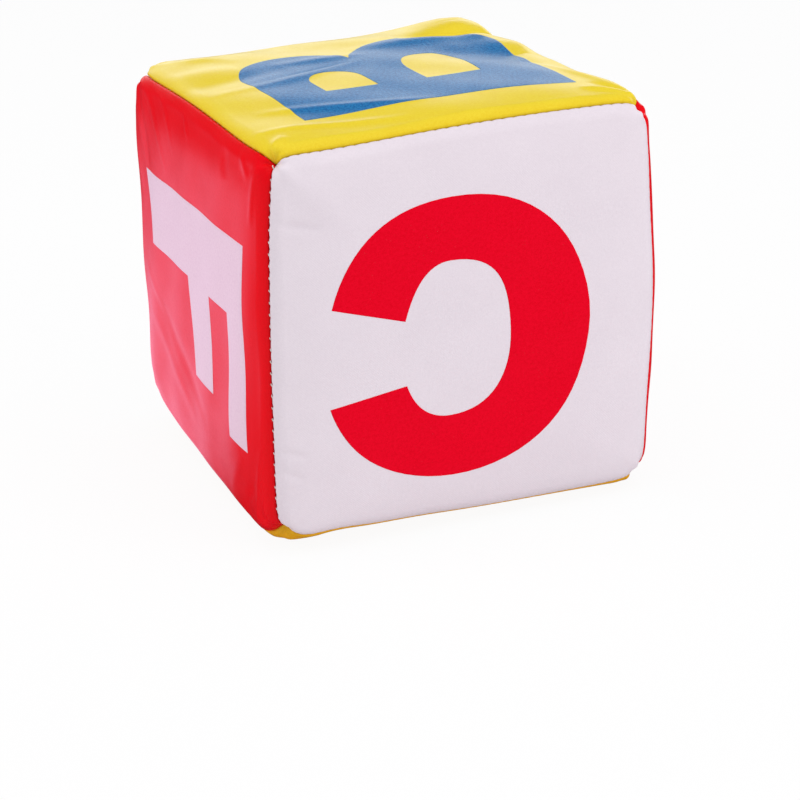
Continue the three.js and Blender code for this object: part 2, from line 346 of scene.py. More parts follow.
def threadMaterial():
    material, wire = newMaterial("threadPolyester")
    place = wire.add("ShaderNodeTexCoord", output="Object").scaled(1 / mm)
    fuzz = place.noise(*polyester["fuzzNoise"])
    wire.principled({
        "Base Color": fuzz.shade(colour(polyester["colour"]), colour(polyester["deep"])),
        "Roughness": polyester["roughness"],
        "Normal": fuzz.bump(polyester["fuzzStrength"], polyester["fuzzHeight"]),
    }).out()
    return material


def foamMaterial():
    material, wire = newMaterial("foamOpenCell")
    place = wire.add("ShaderNodeTexCoord", output="Object").scaled(1 / mm)
    sockets = {"Vector": place, "Scale": openCell["cellsPerMillimetre"]}
    cells = wire.add("ShaderNodeTexVoronoi", sockets, "Distance")
    tone = (cells * openCell["paleShare"]).shade(colour(openCell["colour"]), colour(openCell["pale"]))
    wire.principled({
        "Base Color": tone,
        "Roughness": openCell["roughness"],
        "Normal": cells.bump(openCell["cellStrength"], openCell["cellHeight"]),
    }).out()
    return material


coverMaterials = {name: coatedCloth("leatherette" + name.title(), leatherette[name]) for name in leatherette}
printMaterials = {name: coatedCloth("print" + name.title(), printing[name]) for name in printing}
stitchMaterial = threadMaterial()
fillMaterial = foamMaterial()
print("materials made")


# Studio, in metres: a pale floor, a white surround, and large soft lamps

studio = {
    "floorSize": 12.0,
    "floorColour": "#f2f1f2",
    "floorRoughness": 0.9,
    "floorGlow": 0.93,
    "fillStrength": 0.55,
    "fillColour": (0.97, 0.97, 1.0, 1.0),
    "darkSide": 0.04,  # what gloss sees in the rest of the room
    "screenStrength": 1.7,
    "screenBack": (0.05, 0.6),
    "screenTop": (0.31, 0.39),  # where the screen ends, as a sine of the height over the horizon
    "screenLeft": (-0.25, 0.1),
    "floorGloss": 1.5,
    "floorGlossColour": (1.0, 0.68, 1.0, 1.0),
    "floorReach": (0.3, 1.5),  # how far off the floor still looks bright in gloss
    "floorFront": (-0.06, 0.0),  # before this the floor looks dark in gloss
    "floorLean": 1.2,  # its dark part reaches further back on the left
    "floorLeft": (-0.12, -0.04),
    "glossShadowBehind": (0.0, 0.2),  # painted shadow: gloss sees the floor right behind the die darker again
    "glossShadowLean": 0.6,
    "floorBounce": 0.25,
    "lampsAim": (0.0, 0.0, 0.07),
}
lamps = {
    "overhead": {"at": (0.0, -0.3, 1.5), "size": 1.4, "power": 10.2},
    "left": {"at": (-1.55, 0.4, 0.6), "size": 1.0, "power": 9.8},
    "right": {"at": (1.1, -1.4, 0.6), "size": 1.0, "power": 11.0},
}


def whiteSurround(wire, kind, plain, seen, tint=(1, 1, 1, 1), glow=1.0, bounce=0.0):
    # White to the camera in a share of glow, and to the rest of the light in a share of bounce.
    # Gloss sees it as bright as seen, in the tint.
    camera, glossy, transmission = (
        wire.add("ShaderNodeLightPath", output=name)
        for name in ("Is Camera Ray", "Is Glossy Ray", "Is Transmission Ray")
    )
    share = camera.maths("MAXIMUM", camera, transmission) * (glow - bounce) + bounce
    white = wire.add(kind, {"Color": (1, 1, 1, 1), "Strength": 1.0})
    mirrored = wire.add(kind, {"Color": tint, "Strength": seen})
    shown = wire.add("ShaderNodeMixShader", {0: share, 1: plain, 2: white})
    return wire.add("ShaderNodeMixShader", {0: glossy, 1: shown, 2: mirrored})


def makeStudio():
    scene = bpy.context.scene
    scene.view_settings.view_transform = "Standard"
    world = bpy.data.worlds.new("studio")
    world.use_nodes = True
    world.node_tree.nodes.clear()
    wire = Wire(world.node_tree)
    direction = wire.add("ShaderNodeTexCoord", output="Generated")
    # A bright screen stands behind the die and to the right, and the rest of the room is dark
    screen = direction.axis("Y").between(*studio["screenBack"])
    screen = screen * direction.axis("X").between(*studio["screenLeft"])
    screen = screen * (1 - direction.axis("Z").between(*studio["screenTop"]))
    seen = screen * studio["screenStrength"] + studio["darkSide"]
    fill = {"Color": studio["fillColour"], "Strength": studio["fillStrength"]}
    plain = wire.add("ShaderNodeBackground", fill)
    whole = whiteSurround(wire, "ShaderNodeBackground", plain, seen)
    wire.add("ShaderNodeOutputWorld", {"Surface": whole})
    world.cycles.sampling_method = "NONE"  # so that gloss sees only its own surround
    scene.world = world

    for name, lamp in lamps.items():
        data = bpy.data.lights.new(name, "AREA")
        data.shape = "SQUARE"
        data.size = lamp["size"]
        data.energy = lamp["power"]
        light = linked(name, data)
        light.location = lamp["at"]
        light.visible_glossy = False
        aim = Vector(studio["lampsAim"]) - light.location
        light.rotation_euler = aim.to_track_quat("-Z", "Y").to_euler()


def makeFloor():
    half = studio["floorSize"] / 2
    mesh = bpy.data.meshes.new("floor")
    corners = [(-half, -half, 0), (half, -half, 0), (half, half, 0), (-half, half, 0)]
    mesh.from_pydata(corners, [], [(0, 1, 2, 3)])
    floor = linked("floor", mesh)
    material, wire = newMaterial("floorPaper")
    place = wire.add("ShaderNodeTexCoord", output="Object")
    behind = place.axis("Y").between(*studio["floorFront"])
    leaning = (place.axis("Y") + place.axis("X") * studio["floorLean"]).between(*studio["floorLeft"])
    away = wire.add("ShaderNodeVectorMath", {0: place}, "Value", operation="LENGTH")
    near = 1 - away.between(*studio["floorReach"])
    # Painted shadow of the die on the floor, as gloss sees it: a darker patch right behind the die.
    beside = place.axis("Y") * studio["glossShadowLean"] + place.axis("X")
    beside = 1 - beside.between(*studio["glossShadowBehind"])
    seen = behind * leaning * near * beside * studio["floorGloss"] + studio["darkSide"]
    plain = {"Base Color": colour(studio["floorColour"]), "Roughness": studio["floorRoughness"]}
    paper = wire.principled(plain)
    # Most of the floor that the camera sees is plain white, so the die's shadow on it is pale
    tint, glow, bounce = (studio[name] for name in ("floorGlossColour", "floorGlow", "floorBounce"))
    whiteSurround(wire, "ShaderNodeEmission", paper, seen, tint, glow, bounce).out()
    material.cycles.emission_sampling = "NONE"
    mesh.materials.append(material)


makeStudio()
makeFloor()
print("studio lit")


# Meshes

def indexOf(grid, start=0):
    # The number of each point of a grid
    return start + np.arange(grid[..., 0].size).reshape(grid.shape[:2])


def gridFaces(index):
    quads = np.stack([index[:-1, :-1], index[:-1, 1:], index[1:, 1:], index[1:, :-1]], axis=-1)
    return quads.reshape(-1, 4)


def rimOf(grid):
    # The edge of a grid, anticlockwise as seen from outside
    return np.concatenate([grid[0, :-1], grid[:-1, -1], grid[-1, :0:-1], grid[:0:-1, 0]])


def ringFaces(upper, lower):
    # Between two rings of as many points, the lower one further from the outer skin
    return np.stack([upper, lower, np.roll(lower, -1), np.roll(upper, -1)], axis=-1)


def meshObject(name, points, faces, cloth=None):
    mesh = bpy.data.meshes.new(name)
    mesh.from_pydata((points * mm).tolist(), [], [tuple(f) for f in faces])
    if cloth is not None:
        layer = mesh.attributes.new("cloth", "FLOAT_VECTOR", "POINT")
        layer.data.foreach_set("vector", (cloth * mm).astype(np.float32).ravel())
    mesh.polygons.foreach_set("use_smooth", [True] * len(mesh.polygons))
    mesh.update()
    return linked(name, mesh)


def cleaned(mesh, mergeWithin, closed=False):
    # Joins the points that coincide, and turns the faces of a closed shell outwards
    work = bmesh.new()
    work.from_mesh(mesh)
    bmesh.ops.remove_doubles(work, verts=work.verts, dist=mergeWithin)
    if closed:
        bmesh.ops.recalc_face_normals(work, faces=work.faces)
    work.to_mesh(mesh)
    work.free()


# The skin of a panel: lines from its middle to its seam, the same towards all four sides

def crossSection(depth, steps):
    crownSteps, shoulderSteps, rollSteps = steps
    onCrown = crownEnd * np.arange(crownSteps + 1) / crownSteps
    onShoulder = shoulderTurn * np.arange(1, shoulderSteps + 1) / shoulderSteps
    onRoll = shoulderTurn + (seamTurn - shoulderTurn) * np.arange(1, rollSteps + 1) / rollSteps
    shoulder, roll = cover["shoulderRadius"], cover["rollRadius"]

    def around(angles, radius, inward, downward):
        reach = edgePlane - inward + (radius - depth) * np.sin(angles)
        return reach, downward - (radius - depth) * np.cos(angles) - depth

    shoulderReach, shoulderDrop = around(onShoulder, shoulder, shoulderIn, shoulder)
    rollReach, rollDrop = around(onRoll, roll, rollIn, rollDown)
    reach = np.concatenate([onCrown, shoulderReach, rollReach])
    arc = np.concatenate([
        onCrown,
        crownEnd + shoulder * onShoulder,
        rollStart + roll * (onRoll - shoulderTurn),
    ])
    straight = np.minimum(reach, reach[-1] - cover["rollSlope"] * (seamArc - arc))
    return {
        "arc": arc,
        "reach": straight,
        "bulge": reach - straight,  # where the roll overhangs the seam
        "drop": np.concatenate([np.zeros(crownSteps + 1), shoulderDrop, rollDrop]),
    }


def bothWays(values, signed=False):
    return np.concatenate([-values[:0:-1] if signed else values[:0:-1], values])


def panelSkin(depth, steps, pressed=0.0):
    # The points of a panel in its own frame, its face along +Z: rows run up and columns to the right
    line = crossSection(depth, steps)
    share = crossSection(0.0, steps)["reach"]
    share = bothWays(share / share[-1])
    reach, bulge = bothWays(line["reach"], True), bothWays(line["bulge"], True)
    drop = bothWays(line["drop"])
    full = line["drop"][-1]
    sides = np.sign(np.arange(len(share)) - len(share) // 2)
    draw = cover["cornerDraw"] * np.outer(share, share) ** cover["cornerPower"]
    swell = np.outer(1 - share ** cover["crownPower"], 1 - share ** cover["crownPower"])
    rise = np.minimum(cover["crownHeight"] - pressed, cover["crownHeight"] * swell)
    x = reach[None, :] + bulge[None, :] * (1 - drop[:, None] / full) - sides[None, :] * draw
    y = reach[:, None] + bulge[:, None] * (1 - drop[None, :] / full) - sides[:, None] * draw
    fallen = drop[None, :] + drop[:, None] - drop[None, :] * drop[:, None] / full
    return np.stack([x, y, edgePlane - depth - fallen + rise - draw], axis=-1)


def frameOf(face):
    # Columns: right, up and outwards, as seen from outside
    normal, up = np.array(face["normal"], float), np.array(face["up"], float)
    return np.stack([np.cross(up, normal), up, normal], axis=1)


def normalsOf(points):
    across = np.gradient(points, axis=1)
    along = np.gradient(points, axis=0)
    normal = np.cross(across, along)
    return normal / np.linalg.norm(normal, axis=-1, keepdims=True)


# Handling has pulled this die out of true. Each pull moves what lies near a corner or an edge, as:
# where it grips, in shares of the way from the middle to the seams, how far it moves, and its reach.

pulls = {
    "frontBottomLeft": ((-1, -1, -1), (-1, 0.5, 0.4), 60),
    "frontBottomLeftTip": ((-1, -1, -1), (1.2, 0.5, 2.2), 8),
    "frontTopLeft": ((-1, -1, 1), (0.5, -0.5, -4), 60),
    "backBottomLeft": ((-1, 1, -1), (0, 1, 5.5), 60),
    "backBottomLeftTip": ((-1, 1, -1), (1.2, 0, 2.5), 15),
    "backTopLeft": ((-1, 1, 1), (0.5, -0.5, -2.5), 60),
    "backTopLeftTip": ((-1, 1, 1), (-0.9, 0, 0.5), 12),
    "frontBottomRight": ((1, -1, -1), (0.6, -2, 0), 60),
    "backTopRight": ((1, 1, 1), (-1, 1, 1), 60),
    "backTopRightTip": ((0.75, 1, 1), (0, 0, 0.9), 16),
    "backTopRightPoint": ((0.88, 0.85, 1), (0, 0, 2.6), 13),
    "backTopRightCorner": ((1, 1, 1), (-1, 0, -0.8), 12),
    "topRightEdgeBack": ((1, 0.5, 1), (-0.5, 0, -1.6), 20),
    "topRightEdge": ((1, -0.3, 1), (0, 0, -1.6), 32),
    "topRightBend": ((1, -0.92, 0.9), (-1.2, 0, -2), 10),
    "frontTopRightTip": ((0.95, -0.97, 0.95), (0.8, 0, 0.4), 8),
    "frontRightEdge": ((1, -1, 0), (3, -0.5, 0), 38),
    "frontLeftEdge": ((-1, -1, 0), (-0.5, 0, 0), 38),
    "backTopLeftPoint": ((-0.98, 0.95, 0.97), (1.6, 0, -0.3), 10),
    "frontTopLeftSeam": ((-1, -1, 0.9), (1.2, 0, 0.4), 14),
    "frontBottomEdge": ((-0.72, -1, -1), (0, 0, 1.5), 13),
    "frontBottomMiddle": ((-0.35, -1, -1), (0, 0, 1), 22),
    "backTopEdge": ((0, 1, 1), (0, 0, -0.7), 38),
}


def handled(points):
    moved = points.copy()
    for grip, shift, reach in pulls.values():
        away = np.linalg.norm(points - np.array(grip) * seamLevel, axis=-1)
        moved += np.exp(-((away / reach) ** 2))[..., None] * np.array(shift)
    return moved


def placed(points, face):
    # From a panel's own frame to the die's, in millimetres above the floor
    moved = handled(points @ frameOf(face).T) + (0, 0, centreHeight)
    moved[..., 2] = np.maximum(moved[..., 2], 0)  # the floor presses the bottom flat
    return moved


# The foam swells the cover between its seams. A cloth simulation of the whole cover gives its
# unevenness, and the swelling itself is the panels' crown.

cushion = {
    "lineStep": 4,  # the simulated cover has every fourth line of the panels
    "enlarged": 10.0,  # cloth behaves better in a model that is not so small
    "frames": 20,
    "pressure": 4.0,
    "slack": (0.0, -0.015),  # least and most extra cloth, as the solver's shrinking factor
    "bending": 0.3,
    "slackWaves": 6,
    "slackLengths": (20, 45),  # shortest and longest wave
    "slackSoftness": 4.0,  # a low value makes loose and tight cloth meet sharply
    "mergeWithin": 0.3,
    "share": 0.2,  # of the simulated unevenness
    "cap": 0.8,
    "broadWidth": 11,  # swelling wider than this many lines is left to the crown
    "seed": 5,
}


def blurred(grid, width):
    # A running mean over width lines, both ways
    half = width // 2
    for axis in (0, 1):
        padding = [(half, half) if axis == k else (0, 0) for k in (0, 1)]
        wide = np.pad(grid, padding, mode="edge")
        spans = [np.roll(wide, -k, axis=axis) for k in range(width)]
        grid = np.take(sum(spans) / width, range(grid.shape[axis]), axis=axis)
    return grid


def anyPhase(chance):
    # Where a wave starts, over about a whole turn
    return chance.uniform(0, 6)


def slackOf(place, chance):
    # Which parts of the cover have cloth to spare, from 0 to 1
    spare = np.zeros(len(place))
    for wave in range(cushion["slackWaves"]):
        direction = np.array([chance.gauss(0, 1) for _ in range(3)])
        direction /= np.linalg.norm(direction) * chance.uniform(*cushion["slackLengths"])
        spare += np.sin(place @ direction * 2 * math.pi + anyPhase(chance))
    return np.clip(0.5 + spare / cushion["slackSoftness"], 0, 1)


def swollenCover():
    step, scale = cushion["lineStep"], cushion["enlarged"] * mm
    skins = [
        (panelSkin(-cover["marginGap"] / 2, cover["lineSteps"])[::step, ::step], frameOf(face))
        for face in faceTable.values()
    ]
    lines = len(skins[0][0])
    places = np.concatenate([(skin @ axes.T).reshape(-1, 3) for skin, axes in skins])
    indices = [indexOf(skin, k * lines**2) for k, (skin, axes) in enumerate(skins)]
    faces = np.concatenate([gridFaces(index) for index in indices])
    piece = meshObject("swollenCover", places * cushion["enlarged"], faces)
    cleaned(piece.data, cushion["mergeWithin"] * scale)

    start = np.array([v.co for v in piece.data.vertices])
    tree = KDTree(len(start))
    for index, point in enumerate(start):
        tree.insert(point, index)
    tree.balance()
    joined = np.array([tree.find(point)[1] for point in places * scale])
    rims = np.concatenate([rimOf(index) for index in indices])
    sewn = piece.vertex_groups.new(name="sewn")
    sewn.add(np.unique(joined[rims]).tolist(), 1.0, "REPLACE")
    loose = piece.vertex_groups.new(name="loose")
    for index, share in enumerate(slackOf(start / scale, random.Random(cushion["seed"]))):
        loose.add([index], share, "REPLACE")

    cloth = piece.modifiers.new("cloth", "CLOTH")
    cloth.settings.use_pressure = True
    cloth.settings.uniform_pressure_force = cushion["pressure"]
    cloth.settings.bending_stiffness = cushion["bending"]
    cloth.settings.vertex_group_mass = "sewn"
    cloth.settings.vertex_group_shrink = "loose"
    cloth.settings.shrink_min, cloth.settings.shrink_max = cushion["slack"]
    cloth.settings.effector_weights.gravity = 0
    cloth.point_cache.frame_start, cloth.point_cache.frame_end = 1, cushion["frames"]
    scene = bpy.context.scene
    for frameNumber in range(1, cushion["frames"] + 1):
        scene.frame_set(frameNumber)
    settled = piece.evaluated_get(bpy.context.evaluated_depsgraph_get()).to_mesh()
    moved = (np.array([v.co for v in settled.vertices]) - start) / scale
    scene.frame_set(1)
    bpy.data.objects.remove(piece)

    fine = np.arange((lines - 1) * step + 1) / step
    spread = np.array([np.interp(fine, np.arange(lines), row) for row in np.eye(lines)]).T
    uneven = {}
    for name, (skin, axes), part in zip(faceTable, skins, np.split(moved[joined], len(skins))):
        swelling = np.sum((part @ axes).reshape(skin.shape) * normalsOf(skin), axis=-1)
        swelling -= blurred(blurred(swelling, cushion["broadWidth"]), cushion["broadWidth"])
        swelling = np.clip(swelling * cushion["share"], -cushion["cap"], cushion["cap"])
        uneven[name] = blurred(blurred(spread @ swelling @ spread.T, step + 1), step + 1)
    return uneven


# Folds, each as: where it starts and ends, right and up of its panel's middle, its height, its
# width and, where it isn't straight, its bow

folds = {
    "top": [
        ((2, -84), (8, -26), -1.3, 9),
        ((2, -57), (56, -57), 2.4, 8),
        ((29, -66), (34, 2), 0.9, 5),
        ((41, -82), (42, -24), -2.6, 6),
        ((12, 74), (20, 30), -1.0, 7, -2),
        ((-3, 68), (14, 0), 0.55, 4, -6),
        ((3, 38), (12, 6), -0.3, 1.6),
        ((30, 72), (32, 44), 0.5, 7),
        ((-52, 70), (-61, 14), 0.6, 2.2),
        ((50, 68), (58, 24), 0.3, 5),
        ((44, -66), (-12, -54), 1.3, 4, 4),
        ((-14, -56), (-60, -66), 0.9, 3),
        ((30, -62), (6, -34), -0.4, 6),
        ((24, 34), (20, -4), 0.6, 4),
        ((-31, 60), (-49, 0), 0.6, 2.8, -2.5),
        ((-56, -50), (-66, -64), 0.8, 2.2),
        ((-50, -56), (-66, -70), -0.6, 2),
        ((-60, 60), (-70, 70), 0.7, 2),
        ((62, 66), (40, 40), 0.5, 4, 3),
    ],
    "left": [
        ((-57, -74), (-57, 74), 0.55, 8),
        ((-68, -58), (-40, -22), 0.3, 2, 5),
        ((-70, -48), (-48, -12), 0.2, 1.6, 6),
        ((-66, -66), (-34, -44), -0.4, 3, 4),
        ((-62, -70), (-18, -58), 0.4, 3.5),
        ((-67, -6), (-59, 4), 0.25, 1.2),
        ((-67, 40), (-56, 42), -0.35, 3),
        ((-69, 66), (-44, 61), 0.35, 1.6),
        ((-69, 52), (-60, 60), 0.35, 1.6),
        ((12, -56), (46, 12), -0.5, 4, 3),
        ((22, -60), (52, -4), 0.35, 4, 2),
        ((2, -62), (26, -26), 0.25, 3),
        ((66, 30), (44, 50), 0.3, 3),
        ((70, 44), (50, 60), -0.4, 2.6),
        ((70, 58), (34, 66), 0.35, 2),
        ((-20, -66), (30, -64), 0.25, 3),
    ],
    "front": [
        ((70, -48), (52, -44), -0.6, 1.6),
        ((70, 34), (58, 38), -0.4, 1.4),
        ((70, 41), (60, 46), -0.35, 1.4),
        ((66, -66), (40, -40), 0.35, 5),
        ((-66, 66), (-30, 40), 0.3, 6),
        ((-64, -30), (-20, 30), -0.25, 9, 6),
    ],
    "right": [
        ((-66, 60), (-20, 46), 0.9, 4, 4),
        ((62, -66), (10, -50), 0.8, 4, -4),
        ((60, 64), (30, 30), -0.7, 4),
        ((-64, -64), (-36, -30), 0.7, 3, 3),
    ],
    "back": [
        ((66, 62), (24, 44), 0.8, 4, 4),
        ((-66, -58), (-28, -20), 0.7, 4, -3),
        ((-60, 66), (-40, 26), -0.7, 4),
        ((64, -50), (6, -58), 0.6, 3),
    ],
    "bottom": [
        ((66, -62), (66, 54), -4.4, 6.5),
        ((-66, 62), (-40, 30), 0.5, 3),
        ((62, -64), (34, -28), 0.5, 3, 3),
    ],
}
foldTaper = 0.8  # a low power keeps a fold's full height closer to its ends
waves = {"height": 0.18, "lengths": (31, 44, 58), "seamFade": 4.0}  # broad unevenness of every panel
pits = {
    "count": 32,  # stitches over a whole seam
    "depth": {"front": 0.2, "top": 0.1, "left": 0.1, "right": 0.15, "back": 0.2, "bottom": 0.15},
    "centre": 0.6,  # how far from the seam they are deepest
    "width": 0.7,
    "sharpness": 4,
    "unevenness": 0.3,
    "unevenSpan": 9,
}
gathers = {"height": 0.7, "strength": (0.6, 1.2), "reach": 8.0, "waves": 9.0, "seamFade": 2.5}
stitchPitch = 2 * crownEnd / pits["count"]


def foldHeight(u, v, start, end, height, width, bow=0.0):
    run = np.array(end, float) - start
    length = np.linalg.norm(run)
    share = ((u - start[0]) * run[0] + (v - start[1]) * run[1]) / length**2
    side = ((v - start[1]) * run[0] - (u - start[0]) * run[1]) / length
    side = side - bow * 4 * share * (1 - share)
    taper = np.sin(math.pi * np.clip(share, 0, 1)) ** foldTaper
    return height * taper * np.exp(-((side / width) ** 2))


def reliefOf(name, u, v, toSeam):
    # How far the cloth stands off its smooth shape
    chance = random.Random("letter die " + name)
    relief = np.zeros_like(u)
    if name in unevenness:
        step = (len(unevenness[name]) - 1) // (len(u) - 1)
        relief += unevenness[name][::step, ::step]
    for fold in folds[name]:
        relief += foldHeight(u, v, *fold)
    for length in waves["lengths"]:
        turn = chance.uniform(0, math.pi)
        along = u * math.cos(turn) + v * math.sin(turn)
        relief += waves["height"] * np.sin(2 * math.pi * along / length + anyPhase(chance))
    relief *= 1 - np.exp(-((toSeam / waves["seamFade"]) ** 2))

    # Each stitch pulls a small pit into the cloth beside the seam
    for away, along in ((seamArc - np.abs(u), v), (seamArc - np.abs(v), u)):
        uneven = 1 + pits["unevenness"] * np.sin(along / pits["unevenSpan"] + anyPhase(chance))
        row = np.exp(-(((away - pits["centre"]) / pits["width"]) ** 2))
        hole = (0.5 - 0.5 * np.cos(2 * math.pi * along / stitchPitch)) ** pits["sharpness"]
        relief -= pits["depth"][name] * uneven * row * hole

    # The three seams of a corner gather the cloth in small folds
    for signU, signV in ((-1, -1), (-1, 1), (1, -1), (1, 1)):
        overU, overV = seamArc - signU * u, seamArc - signV * v
        ripple = np.cos(gathers["waves"] * np.arctan2(overV, overU) + anyPhase(chance))
        fade = np.exp(-np.hypot(overU, overV) / gathers["reach"])
        fade *= 1 - np.exp(-((np.minimum(overU, overV) / gathers["seamFade"]) ** 2))
        relief += gathers["height"] * chance.uniform(*gathers["strength"]) * ripple * fade
    return relief


def smoothSkin(name, steps):
    # A panel before its relief, with its normals and, for each point, how far it lies right and up
    # of the panel's middle along the cloth, and how far from the nearest seam
    skin = panelSkin(0.0, steps, restPressed if name == "bottom" else 0.0)
    arc = bothWays(crossSection(0.0, steps)["arc"], True)
    u, v = np.meshgrid(arc, arc)
    return skin, normalsOf(skin), (u, v, seamArc - np.maximum(np.abs(u), np.abs(v)))


def panelShape(name):
    skin, normals, cloth = smoothSkin(name, cover["lineSteps"])
    outer = skin + normals * reliefOf(name, *cloth)[..., None]
    inner = outer - normals * cover["thickness"]
    return {"cloth": np.stack(cloth, axis=-1), "outer": outer, "inner": inner[::2, ::2]}


unevenness = swollenCover()
print("cover swollen")
shapes = {name: panelShape(name) for name in faceTable}
print("cover shaped")


# Panels: an outer and an inner skin, with a margin turned in along each seam

def makePanel(name):
    face, shape = faceTable[name], shapes[name]
    outer, inner, cloth = shape["outer"], shape["inner"], shape["cloth"]
    rings, ends = cover["marginRings"], 1 - cover["marginWidth"] / math.sqrt(2) / seamLevel
    outerIndex = indexOf(outer)
    innerIndex = indexOf(inner, outerIndex.size)
    points = [outer.reshape(-1, 3), inner.reshape(-1, 3)]
    clothPoints = [cloth.reshape(-1, 3), cloth[::2, ::2].reshape(-1, 3)]
    faces = [gridFaces(outerIndex), gridFaces(innerIndex)[:, ::-1]]

    # The margins run in from the seam: down on the outer skin and back up on the inner one
    count = sum(len(p) for p in points)
    lastOuter, lastInner = rimOf(outerIndex), rimOf(innerIndex)
    for ring in range(1, rings + 1):
        factor = 1 + (ends - 1) * ring / rings
        points += [rimOf(outer) * factor, rimOf(inner) * factor]
        clothPoints += [rimOf(cloth), rimOf(cloth[::2, ::2])]
        nextOuter = np.arange(len(lastOuter)) + count
        nextInner = np.arange(len(lastInner)) + nextOuter[-1] + 1
        faces.append(ringFaces(lastOuter, nextOuter))
        faces.append(ringFaces(lastInner, nextInner)[:, ::-1])
        lastOuter, lastInner = nextOuter, nextInner
        count = nextInner[-1] + 1
    # The outer ring has two points for each of the inner one
    triangles = []
    for k, index in enumerate(lastInner):
        after = lastInner[(k + 1) % len(lastInner)]
        first, middle, last = (lastOuter[(2 * k + step) % len(lastOuter)] for step in range(3))
        triangles += [(first, index, middle), (middle, index, after), (middle, after, last)]
    faces.append(np.array(triangles))

    panel = meshObject(
        "panel" + name.title(),
        placed(np.concatenate(points), face),
        [f for block in faces for f in block.tolist()],
        np.concatenate(clothPoints),
    )
    panel.data.materials.append(coverMaterials[face["cover"]])
    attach(panel, "root")
    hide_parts("panel_" + name)
    "cover_" + face["cover"]
    cut = 2 * (seamArc + cover["marginWidth"]) * mm


for name in faceTable:
    makePanel(name)
print("panels sewn")


# Foam: one block under the panels, slit along the seams for their margins

foam = {
    "clearance": 0.15,
    "slitDepth": 7.3,
    "lineSteps": (48, 6, 6),
    "fill": 0.95,
    "mergeWithin": 0.02,
}


def makeFoam():
    points, faces = [], []
    count = 0
    ends = 1 - foam["slitDepth"] / math.sqrt(2) / seamLevel
    for name, face in faceTable.items():
        outer, normals, cloth = smoothSkin(name, foam["lineSteps"])
        depth = cover["thickness"] + foam["clearance"]
        skin = outer + normals * (reliefOf(name, *cloth)[..., None] - depth)
        index = indexOf(skin, count)
        wall = rimOf(skin) * ends
        centre = rimOf(panelSkin(-cover["marginGap"] / 2, foam["lineSteps"])) * ends
        points.append(placed(np.concatenate([skin.reshape(-1, 3), wall, centre]), face))
        wallIndex = np.arange(len(wall)) + count + index.size
        centreIndex = wallIndex + len(wall)
        faces += gridFaces(index).tolist()
        faces += ringFaces(rimOf(index), wallIndex).tolist()
        faces += ringFaces(wallIndex, centreIndex).tolist()
        count += index.size + 2 * len(wall)
    block = meshObject("foamBlock", np.concatenate(points), faces)
    cleaned(block.data, foam["mergeWithin"] * mm, closed=True)
    block.data.materials.append(fillMaterial)
    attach(block, "root")
    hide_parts("foam_core")


makeFoam()
print("foam cut")


# Printed letters, as shares of the letter height, upright and with the middle at 0, 0. Two numbers
# are a corner, six are a curve: two control points and an end. Later contours are holes.

letterShares = {
    "a": [[
        (-0.5, -0.5), (-0.195, -0.5), (-0.136, -0.31), (0.136, -0.31),
        (0.195, -0.5), (0.5, -0.5), (0.155, 0.5), (-0.155, 0.5),
    ], [
        (-0.074, -0.115), (0, 0.13), (0.074, -0.115),
    ]],
    "b": [[
        (-0.45, -0.515), (0.24, -0.55), (0.4, -0.55, 0.435, -0.38, 0.435, -0.18),
        (0.43, -0.08, 0.35, 0.01, 0.22, 0.06), (0.35, 0.1, 0.39, 0.16, 0.395, 0.26),
        (0.4, 0.4, 0.3, 0.5, 0.1, 0.5), (-0.44, 0.49),
    ], [
        (-0.185, 0.115), (-0.185, 0.31), (-0.05, 0.31),
        (0.02, 0.31, 0.055, 0.27, 0.055, 0.21), (0.055, 0.15, 0.02, 0.12, -0.05, 0.118),
    ], [
        (-0.17, -0.285), (-0.185, -0.07), (-0.01, -0.07),
        (0.09, -0.075, 0.165, -0.12, 0.175, -0.2), (0.18, -0.27, 0.14, -0.31, 0.04, -0.305),
    ]],
    "c": [[
        (0.48, 0.2), (0.44, 0.35, 0.3, 0.522, 0.04, 0.522),
        (-0.25, 0.522, -0.463, 0.34, -0.463, 0.015), (-0.463, -0.31, -0.26, -0.49, 0.04, -0.49),
        (0.26, -0.49, 0.41, -0.4, 0.47, -0.163), (0.211, -0.077),
        (0.18, -0.195, 0.13, -0.269, 0.049, -0.269), (-0.13, -0.269, -0.173, -0.15, -0.173, 0.01),
        (-0.173, 0.18, -0.11, 0.293, 0.048, 0.293), (0.12, 0.293, 0.18, 0.25, 0.208, 0.158),
    ]],
    "d": [[
        (-0.43, -0.5), (-0.02, -0.5), (0.28, -0.5, 0.45, -0.32, 0.45, 0),
        (0.45, 0.32, 0.28, 0.5, -0.02, 0.5), (-0.43, 0.5),
    ], [
        (-0.15, -0.295), (-0.15, 0.295), (-0.05, 0.295),
        (0.09, 0.295, 0.16, 0.2, 0.16, 0), (0.16, -0.2, 0.09, -0.295, -0.05, -0.295),
    ]],
    "e": [[
        (-0.39, -0.5), (0.4, -0.5), (0.4, -0.305), (-0.105, -0.305), (-0.105, -0.095), (0.33, -0.095),
        (0.33, 0.1), (-0.105, 0.1), (-0.105, 0.305), (0.38, 0.305), (0.38, 0.5), (-0.39, 0.5),
    ]],
    "f": [[
        (-0.385, -0.53), (-0.09, -0.48), (-0.09, -0.05), (0.285, -0.01), (0.285, 0.19),
        (-0.09, 0.19), (-0.09, 0.375), (0.38, 0.36), (0.385, 0.52), (-0.385, 0.53),
    ]],
}
letters = {
    "height": 100.0,
    "curveSteps": 16,
    "above": 0.07,  # how far the ink stands off the cloth
    "below": 0.25,
    "shiftShares": {"b": (-0.05, -0.01), "c": (0.03, 0.015), "f": (0.02, 0.03)},
    "hair": 1e-4,  # a length too short to matter
}
gridPitch = crownEnd / cover["lineSteps"][0]  # between the lines on a crown


